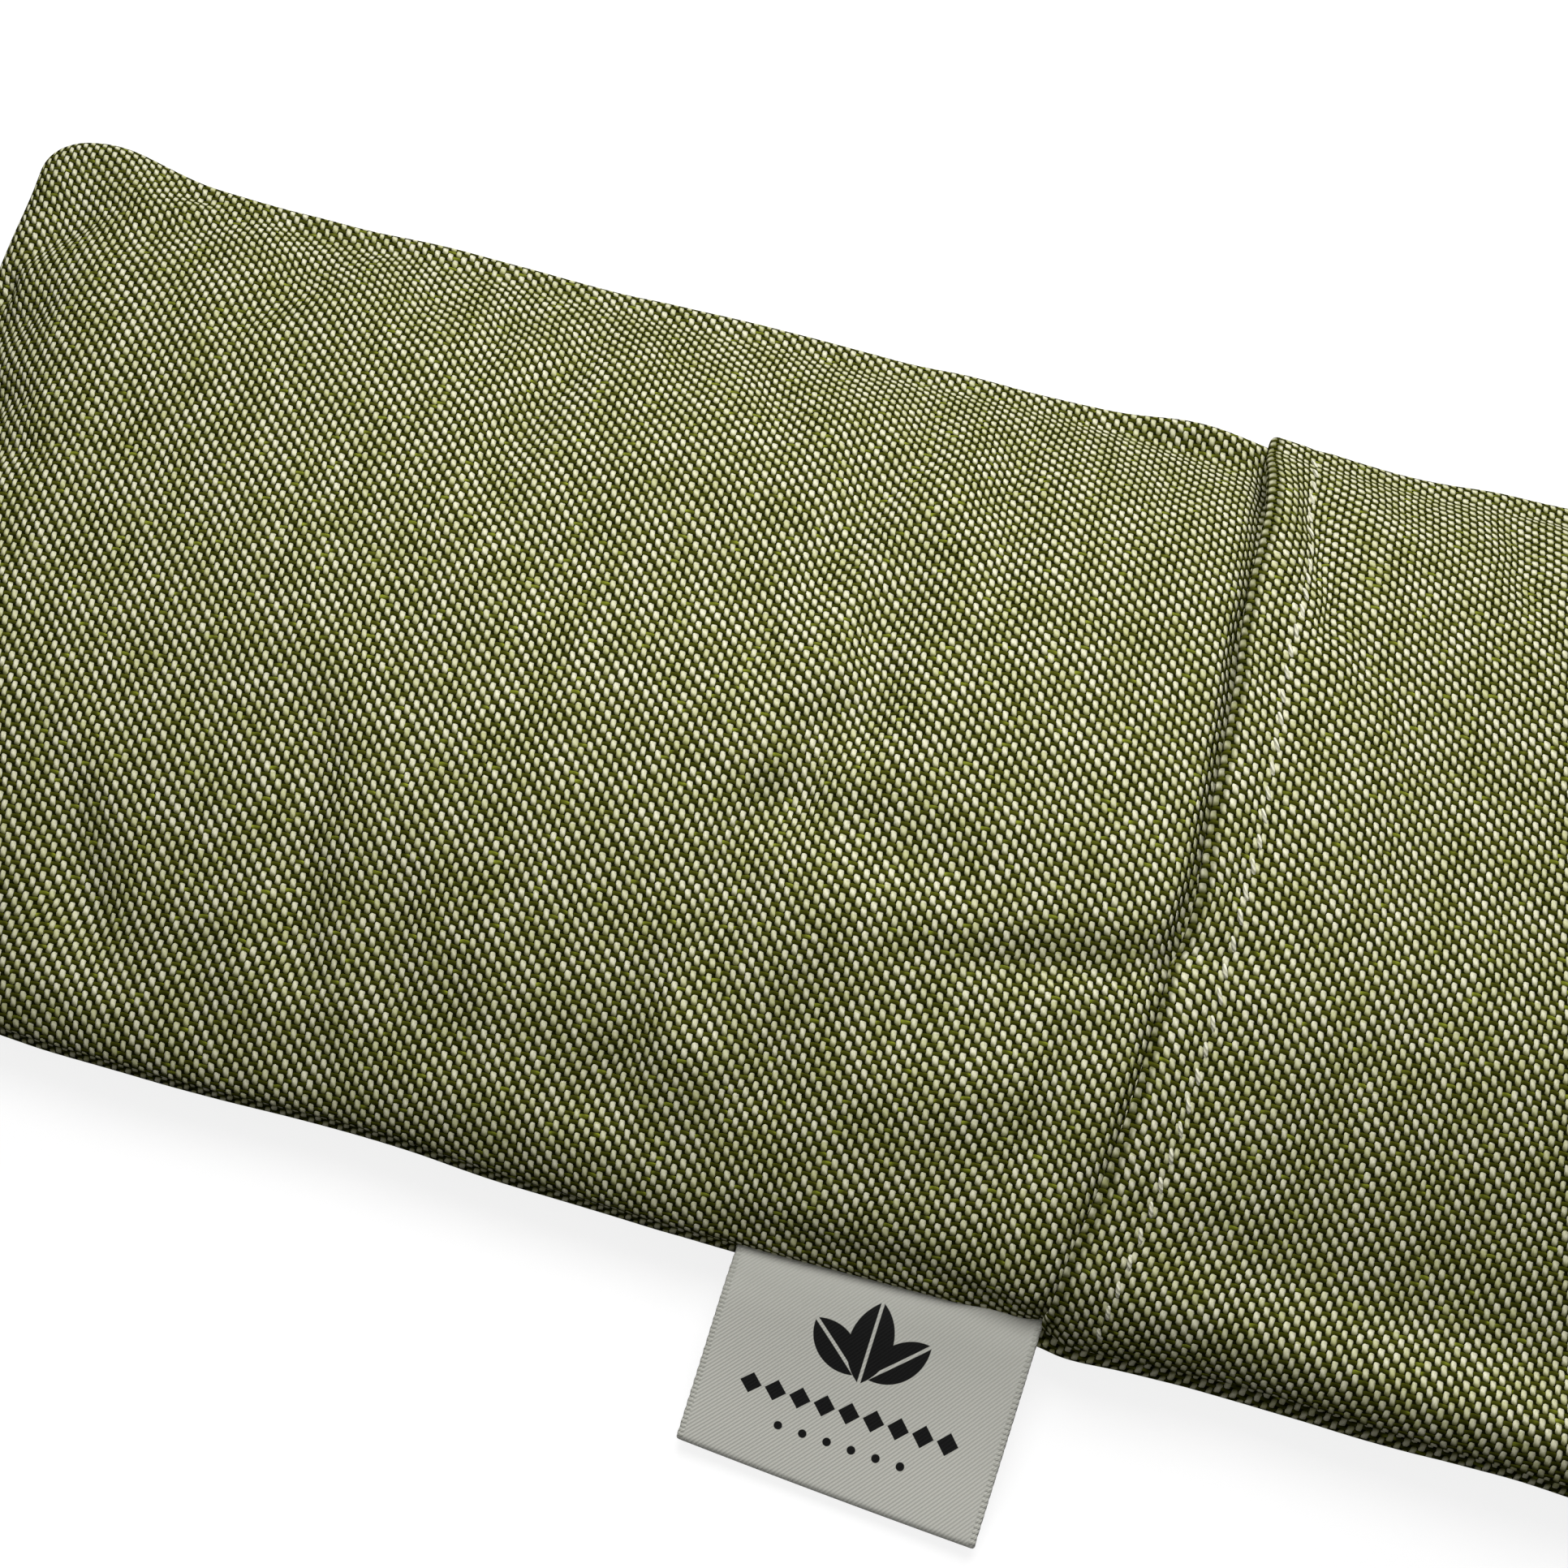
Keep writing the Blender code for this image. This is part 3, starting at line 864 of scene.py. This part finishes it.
def drawn_in(points, inset, drop_top, drop_under):
    """A copy of a grid drawn in towards the middle, to lie inside it."""
    inner = points.copy()
    inner[..., 0] *= 1.0 - inset / HALF_X
    inner[..., 1] *= 1.0 - inset / HALF_Y
    above = points[..., 2] - SEAM_HEIGHT
    scale_top = 1.0 - drop_top / CROWN
    scale_under = 1.0 - drop_under / SEAM_HEIGHT
    inner[..., 2] = SEAM_HEIGHT + above * np.where(above > 0.0, scale_top, scale_under)
    return inner


def add_inner_pieces(cotton, seeds):
    stations_u = eased(61, 1.6)
    stations_v = eased(33, 1.6)
    top = cover_grid(stations_u, stations_v, True)
    under = cover_grid(stations_u, stations_v, False)
    bag = closed_piece("inner_bag", drawn_in(top, *BAG_INSET), drawn_in(under, *BAG_INSET), cotton)
    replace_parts(bag, "inner_bag_top", "inner_bag_underside")
    heap_top = drawn_in(top, *HEAP_INSET)
    heap_top[..., 2] += wander(heap_top, *HEAP_BUMPS) * (heap_top[..., 2] > SEAM_HEIGHT + 0.002)
    heap = closed_piece("seed_heap", heap_top, drawn_in(under, *HEAP_INSET), seeds)
    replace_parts(heap, "seed_fill")


# ---- Materials ----

CREAM = (0.692, 0.677, 0.518)
CREAM_SHADE = (0.545, 0.531, 0.364)
CREAM_DIM = (0.350, 0.362, 0.12)
# The cream floats' front ends, where they sink and where painted shade falls
CREAM_DIP_AND_SHADE = (0.130, 0.133, 0.018)
# The olive floats where they dive, in painted shade
OLIVE_DIVE_AND_SHADE = (0.012, 0.013, 0.002)
OLIVE_DARK = (0.039, 0.043, 0.003)
OLIVE_LIGHT = (0.094, 0.099, 0.008)
LIME = (0.30, 0.34, 0.030)
# Painted shade in the gaps between the yarns, and in the line between the floats' diagonals
GAP_SHADE = (0.006, 0.007, 0.001)
CREAM_THREAD = ((0.41, 0.40, 0.28), (0.61, 0.60, 0.47))
COTTON_THREAD = ((0.60, 0.57, 0.50), (0.86, 0.83, 0.76))
# The inner bag's cotton, in painted shade between the yarns and lighter on their crowns
COTTON_SHADED_AND_LIT = ((0.42, 0.38, 0.30), (0.82, 0.79, 0.70))
FLAX = ((0.10, 0.040, 0.014), (0.24, 0.11, 0.045))
SATIN = ((0.46, 0.46, 0.415), (0.59, 0.59, 0.535))
SATIN_GRAIN = (0.49, 0.49, 0.44)
SATIN_RIB = (0.36, 0.36, 0.31)
INK = (0.004, 0.004, 0.004)
FLOOR = ((0.22, 0.22, 0.22), (0.24, 0.24, 0.24))
WHITE = (1.0, 1.0, 1.0)
FLOOR_GLOW = 0.84
DOME_GLOW = 0.92
THREAD_PITCH = 0.0011

# The canvas, in yarns: how far they drift and shake, and the length and width of their floats
DRIFT = 0.9
SHAKE = 0.30
FLOAT_LENGTH = 1.05
CREAM_WIDTHS = (0.435, 0.515)
OLIVE_WIDTH = 0.365
OLIVE_DEPTH = 0.70

# The label's print, in millimetres: leaves (across, down, lean, length), then diamonds and dots
LEAVES = ((0.0, 5.8, 0.0, 6.2), (-3.3, 7.0, 0.85, 5.2), (3.3, 7.0, -0.85, 5.2))
PRINT_PITCH = 2.6
DIAMONDS, DIAMONDS_DOWN, DIAMOND_SIZE = 9, 13.2, 1.15
DOTS, DOTS_DOWN, DOT_RADIUS = 6, 16.6, 0.45


def reckoning(operation):
    """A method that works a Math node's operation on a value and what it is given."""
    return lambda value, *others: value.graph.math(operation, value, *others)


class Value:
    """Something that a graph's nodes work out, to be reckoned with like a number."""

    def __init__(self, graph, socket):
        self.graph = graph
        self.socket = socket

    def __rsub__(self, other):
        return self.graph.math("SUBTRACT", other, self)

    __add__ = __radd__ = reckoning("ADD")
    __sub__ = reckoning("SUBTRACT")
    __mul__ = reckoning("MULTIPLY")
    __truediv__ = reckoning("DIVIDE")
    __pow__ = reckoning("POWER")
    __mod__ = reckoning("FLOORED_MODULO")
    __abs__ = reckoning("ABSOLUTE")
    floor = reckoning("FLOOR")
    fraction = reckoning("FRACT")
    root = reckoning("SQRT")
    sine = reckoning("SINE")
    cosine = reckoning("COSINE")
    larger = reckoning("MAXIMUM")
    smaller = reckoning("MINIMUM")


class Graph:
    """Builds the nodes of a material or a world."""

    def __init__(self, owner):
        owner.use_nodes = True
        self.owner = owner
        self.tree = owner.node_tree

    def join(self, socket, value):
        if isinstance(value, Value):
            self.tree.links.new(value.socket, socket)
        else:
            socket.default_value = (*value, 1.0) if isinstance(value, tuple) else value

    def made(self, kind, inputs, output=0, **settings):
        """What a new node makes of its inputs, given by number or name."""
        node = self.tree.nodes.new(kind)
        for key, value in settings.items():
            setattr(node, key, value)
        for key, value in inputs.items():
            self.join(node.inputs[key], value)
        return Value(self, node.outputs[output])

    def math(self, operation, *values):
        return self.made("ShaderNodeMath", dict(enumerate(values)), operation=operation)

    def ramp(self, value, low, high, to_low=0.0, to_high=1.0):
        inputs = dict(enumerate((value, low, high, to_low, to_high)))
        return self.made("ShaderNodeMapRange", inputs, interpolation_type="SMOOTHSTEP")

    def mix(self, factor, first, second):
        return self.made("ShaderNodeMix", {0: factor, 6: first, 7: second}, 2, data_type="RGBA")

    def point(self, x, y, z=0.0):
        return self.made("ShaderNodeCombineXYZ", {0: x, 1: y, 2: z})

    def noise(self, place, scale, detail=2.0):
        inputs = {"Vector": place, "Scale": scale, "Detail": detail, "Roughness": 0.5}
        return self.made("ShaderNodeTexNoise", inputs)

    def chance(self, x, y):
        """One random number for each whole-numbered place."""
        return self.made("ShaderNodeTexWhiteNoise", {"Vector": self.point(x, y)}, noise_dimensions="2D")

    def uv(self):
        place = self.made("ShaderNodeTexCoord", {}, "UV")
        return [self.made("ShaderNodeSeparateXYZ", {0: place}, axis) for axis in (0, 1)]

    def object_place(self):
        return self.made("ShaderNodeTexCoord", {}, "Object")

    def set_inputs(self, node_name, **values):
        for key, value in values.items():
            self.join(self.tree.nodes[node_name].inputs[key.replace("_", " ")], value)

    def finish(self, colour, roughness, height, distance, sheen=0.0, specular=0.3):
        bumps = self.made("ShaderNodeBump", {"Height": height, "Distance": distance})
        self.set_inputs("Principled BSDF", Base_Color=colour, Roughness=roughness, Normal=bumps,
                        Sheen_Weight=sheen, Sheen_Roughness=0.5, Specular_IOR_Level=specular)
        return self.owner


def material_graph(name):
    return Graph(bpy.data.materials.new(name))


def crossing(along, across, parity, half_length, half_width, power, cut=0.0, crest=0.0):
    """How deep in a yarn's float a place lies, from 1 at the deepest to 0 at the rim, and how far from
    its middle, along and across. Cut lessens the depth, and crest is how far along the deepest lies."""
    shift = across.floor() % 2.0
    phase = (along + shift + (parity - 0.5)) * 0.5
    from_crest = ((phase + 0.5).fraction() - 0.5) * 2.0
    from_middle = across.fraction() - 0.5
    lengthways = abs(from_crest - crest) / half_length
    sideways = abs(from_middle) / half_width
    depth = (1.0 - (lengthways ** power + sideways ** power + cut)).larger(0.0)
    return depth, from_crest, from_middle


def unsteady(graph, u, v):
    """Yarn counts that drift and shake a little, as spun yarns do."""
    moved = []
    for count, across, drift_layer, shake_layer in ((u, v, 0.0, 3.0), (v, u, 7.0, 11.0)):
        drift = graph.noise(graph.point(count, across, drift_layer), 0.09) - 0.5
        shake = graph.noise(graph.point(u, v, shake_layer), 0.8, 3.0) - 0.5
        moved.append(count + drift * DRIFT + shake * SHAKE)
    return moved


def olive_yarns(graph, u, v, cell):
    """Height and colour of the olive yarns. A float dives in front and to the right, and painted shade
    darkens it there.
    """
    depth, along, across = crossing(u, v, 1.0, FLOAT_LENGTH, OLIVE_WIDTH, 2.2)
    row = v.floor()
    light = graph.chance(0.5, row) * 0.6 + cell * 0.4
    slub = graph.ramp(graph.noise(graph.point(u * 0.28, row), 1.0), 0.54, 0.72)
    colour = graph.mix(slub, graph.mix(light, OLIVE_DARK, OLIVE_LIGHT), LIME)
    # Painted shade: lit is the light each part of a float is given, less in front and to the right.
    lit = (across * 1.5 + 1.0) * (along * -0.34 + 1.0)
    colour = graph.mix(graph.ramp(lit, 0.1, 1.5, 1.0, 0.0), colour, OLIVE_DIVE_AND_SHADE)
    return depth.root() * OLIVE_DEPTH, colour


def cream_yarns(graph, u, v, cell, between):
    """Height and colour of the cream yarns, which sink slowly in front, where painted shade also darkens
    them as if lit from behind. Some patches and floats are dim.
    """
    mottle = graph.noise(graph.point(u * 1.5, v, 19.0), 0.16) - 0.5
    thick = graph.chance(u.floor(), 0.5) + cell * 0.6
    width = graph.ramp(thick, 0.0, 1.6, *CREAM_WIDTHS) + mottle * 0.15
    depth, along, _ = crossing(v, u, 0.0, FLOAT_LENGTH, width, 3.0, between * 0.57, 0.12)
    fibres = graph.noise(graph.point(u * 7.0, v * 2.0, 5.0), 1.0, 3.0)
    colour = graph.mix(graph.ramp(fibres, 0.3, 0.7), CREAM_SHADE, CREAM)
    colour = graph.mix(graph.ramp(cell, 0.75, 1.0) * 0.5, colour, CREAM_DIM)
    colour = graph.mix(graph.ramp(mottle, -0.12, 0.12, 0.36, 0.0), colour, CREAM_DIM)
    # Painted shade: each float darkens towards its front end, as if lit from behind, where the yarn also
    # sinks.
    colour = graph.mix(graph.ramp(along, -0.82, 0.26), CREAM_DIP_AND_SHADE, colour)
    return depth.root(), colour


def canvas_material():
    """Plain weave of thick cream yarns across the pillow and thinner olive ones along it."""
    graph = material_graph("canvas weave")
    u, v = graph.uv()
    from_fold = abs(u - FOLD_COUNT)
    u, v = unsteady(graph, u, v)
    cell = graph.chance(u.floor(), v.floor())
    # The cream yarn's twist joins the floats along one diagonal, with a dark line of painted shade between
    # them.
    between = (((u + v) * math.pi).cosine() + 1.0) * 0.5
    cream_height, cream = cream_yarns(graph, u, v, cell, between)
    olive_height, olive = olive_yarns(graph, u, v, cell)
    # The folded edge shows more of the olive yarns, which bend over it.
    over = graph.ramp(cream_height - olive_height, -0.06, 0.24) * graph.ramp(from_fold, 0.2, 0.7, 0.40, 1.0)
    height = cream_height.larger(olive_height)
    # Painted shade: where both yarns lie low, the gaps between them go near black.
    colour = graph.mix(graph.ramp(height, 0.30, 0.46), GAP_SHADE, graph.mix(over, olive, cream))
    colour = graph.mix(between * 0.46, colour, GAP_SHADE)
    return graph.finish(colour, 0.9, height, 0.00030, specular=0.0)


def thread_material(name, colours):
    """A twisted sewing thread."""
    graph = material_graph(name)
    inputs = {"Vector": graph.object_place(), "Scale": 1.0 / THREAD_PITCH, "Distortion": 1.2}
    twist = graph.made("ShaderNodeTexWave", inputs, 1, bands_direction="DIAGONAL")
    return graph.finish(graph.mix(twist, *colours), 0.65, twist, 0.00006, sheen=0.2)


def cotton_material():
    graph = material_graph("cotton weave")
    u, v = [count * 1.9 for count in graph.uv()]
    warp, weft = [crossing(*counts, 0.62, 0.46, 2.2)[0] for counts in ((v, u, 0.0), (u, v, 1.0))]
    height = warp.larger(weft)
    # Painted shade: the cotton darkens where the yarns lie low, between them.
    return graph.finish(graph.mix(graph.ramp(height, 0.0, 0.5), *COTTON_SHADED_AND_LIT), 0.9, height, 0.0001, sheen=0.2)


def seed_material():
    graph = material_graph("flax seed")
    inputs = {"Vector": graph.object_place(), "Scale": 420.0}
    distance, colour = [graph.made("ShaderNodeTexVoronoi", inputs, output, feature="F1")
                        for output in ("Distance", "Color")]
    shade = graph.made("ShaderNodeSeparateColor", {0: colour})
    height = graph.ramp(distance, 0.0, 0.7, 1.0, 0.0)
    return graph.finish(graph.mix(shade, *FLAX), 0.35, height, 0.0006, specular=0.5)


def satin_material():
    """Greige satin ribbon with a twill line, ribbed selvedges and a generic print."""
    graph = material_graph("satin ribbon")
    x, y = [count * 1000.0 for count in graph.uv()]
    twill = graph.ramp(((x + y * 0.8) * (2.0 * math.pi / 0.42)).sine(), -0.8, 0.8)
    half = LABEL_WIDTH * 1000.0 / 2.0
    selvedge = graph.ramp(abs(x), half - 0.75, half - 0.55)
    rib = graph.ramp((y * (2.0 * math.pi / 0.5)).sine(), -0.4, 0.4)
    grain = graph.noise(graph.point(x * 0.8, y * 3.0), 2.0, 3.0)
    cloth = graph.mix(graph.ramp(grain, 0.35, 0.75), graph.mix(twill * 0.55, *SATIN), SATIN_GRAIN)
    cloth = graph.mix(selvedge * rib * 0.45, cloth, SATIN_RIB)
    ink = printed_leaf(graph, x, y)
    height = twill * 0.5 + selvedge * rib + ink * -0.3
    return graph.finish(graph.mix(ink, cloth, INK), ink * 0.2 + 0.46, height, 0.00005, specular=0.15)


def disc(x, y, radius):
    """How far inside a circle a place lies, in millimetres."""
    return radius - (x * x + y * y).root()


def leaf(x, y, lean, length):
    """A pointed leaf where two discs overlap, with a vein left out along its middle."""
    along = x * math.sin(lean) + y * math.cos(lean)
    across = x * math.cos(lean) - y * math.sin(lean)
    bow = 1.35 * length / 2.0
    reach = math.hypot(bow, length / 2.0) - 0.001
    sides = [disc(across - out, along, reach) for out in (bow - 0.2 * length, 0.2 * length - bow)]
    return sides[0].smaller(sides[1]).smaller(abs(across) - 0.16)


def printed_leaf(graph, x, y):
    """A sprig of three leaves over a row of diamonds and one of dots."""
    shapes = [leaf(x - across, y - down, lean, length) for across, down, lean, length in LEAVES]
    for number in range(DIAMONDS):
        place = (number - (DIAMONDS - 1) / 2.0) * PRINT_PITCH
        shapes.append(DIAMOND_SIZE - (abs(x - place) + abs(y - DIAMONDS_DOWN)))
    for number in range(DOTS):
        place = (number - (DOTS - 1) / 2.0) * PRINT_PITCH
        shapes.append(disc(x - place, y - DOTS_DOWN, DOT_RADIUS))
    ink = shapes[0]
    for shape in shapes[1:]:
        ink = ink.larger(shape)
    return graph.ramp(ink, -0.03, 0.05)


def floor_material():
    graph = material_graph("pale floor")
    grain = graph.noise(graph.object_place(), 900.0)
    graph.set_inputs("Principled BSDF", Emission_Color=WHITE, Emission_Strength=FLOOR_GLOW)
    return graph.finish(graph.mix(grain, *FLOOR), 0.8, grain, 0.00001, specular=0.0)


def backdrop_material():
    graph = material_graph("pale backdrop")
    graph.set_inputs("Material Output", Surface=graph.made("ShaderNodeEmission", {"Strength": DOME_GLOW}))
    return graph.owner


# ---- Camera, light and floor ----

CAMERA_TARGET = Vector((-0.0055, -0.0041, 0.0150))
CAMERA_AZIMUTH = math.radians(13.2)
CAMERA_ELEVATION = math.radians(65.1)
CAMERA_DISTANCE = 0.3576
CAMERA_ROLL = math.radians(2.83)
CAMERA_LENS = 77.3
CAMERA_SENSOR = 36.0

# Area lights: name, place, size and power
LIGHTS = (
    ("key", (0.10, 1.14, 0.76), 0.60, 18.0),
    ("top", (0.004, 0.024, 0.24), 0.14, 0.41),
)

# The world's light: the heights between which it grows, and its strengths there
WORLD_LIGHT = (-0.35, 0.80, 0.05, 0.30)
DOME_RADIUS = 12.0


def add_camera():
    data = bpy.data.cameras.new("camera")
    data.lens = CAMERA_LENS
    data.sensor_width = CAMERA_SENSOR
    data.clip_start = 0.01
    data.clip_end = 20.0
    flat = math.cos(CAMERA_ELEVATION)
    back = Vector((math.sin(CAMERA_AZIMUTH) * flat, -math.cos(CAMERA_AZIMUTH) * flat,
                   math.sin(CAMERA_ELEVATION)))
    camera = added("camera", data, CAMERA_TARGET + back * CAMERA_DISTANCE)
    facing = (-back).to_track_quat("-Z", "Y").to_matrix().to_4x4()
    camera.rotation_euler = (facing @ Matrix.Rotation(CAMERA_ROLL, 4, "Z")).to_euler()
    bpy.context.scene.camera = camera


def add_area_light(name, place, size, power):
    data = bpy.data.lights.new(name, "AREA")
    data.shape = "DISK"
    data.size = size
    data.energy = power
    light = added(name, data, place)
    light.rotation_euler = (-Vector(place)).to_track_quat("-Z", "Y").to_euler()


def add_to_stage(name, material):
    """Name the object that was added last, give it its material, and hide it from diffuse rays, so that it
    lights nothing.
    """
    item = bpy.context.object
    item.name = name
    item.data.materials.append(material)
    item.visible_diffuse = False
    return item


def add_backdrop():
    """A pale dome far around the studio, which only the camera sees."""
    bpy.ops.mesh.primitive_uv_sphere_add(segments=96, ring_count=48, radius=DOME_RADIUS)
    dome = add_to_stage("backdrop", backdrop_material())
    dome.visible_glossy = False
    dome.visible_transmission = False
    dome.visible_shadow = False


def add_floor():
    bpy.ops.mesh.primitive_plane_add(size=2.0 * DOME_RADIUS, location=(0.0, 0.0, 0.0))
    add_to_stage("floor", floor_material())


def add_world():
    """Soft light from all around, strongest from overhead."""
    world = bpy.data.worlds.new("studio")
    graph = Graph(world)
    direction = graph.made("ShaderNodeTexCoord", {}, "Generated")
    height = graph.made("ShaderNodeSeparateXYZ", {0: direction}, 2)
    graph.set_inputs("Background", Strength=graph.ramp(height, *WORLD_LIGHT), Color=WHITE)
    bpy.context.scene.world = world


def add_studio():
    add_floor()
    add_backdrop()
    add_world()
    for light in LIGHTS:
        add_area_light(*light)
    bpy.context.scene.view_settings.view_transform = "Standard"


# ---- Build ----

def dress_hidden_nodes(cream, cotton):
    """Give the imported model's seam threads their own material."""
    for name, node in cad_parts.items():
        if name.endswith("_thread"):
            node.data.materials[0] = cotton if name.startswith("inner_bag") else cream


def build():
    canvas = canvas_material()
    cream = thread_material("cream thread", CREAM_THREAD)
    cotton_thread = thread_material("cotton thread", COTTON_THREAD)
    add_cover(canvas)
    add_flap(canvas)
    add_stitches("hem_stitches", STITCH_INSET, 2.0 * CLOTH + 2.0 * PLY_GAP, 0.985, cream,
                 "flap_hem_stitching")
    add_stitches("underlap_stitches", UNDERLAP_X - 0.7 * HEM_DEPTH - LAP_X, -0.0012, 0.93, cream,
                 "underlap_hem_stitching")
    add_label(satin_material())
    add_inner_pieces(cotton_material(), seed_material())
    dress_hidden_nodes(cream, cotton_thread)


build()
add_studio()
add_camera()
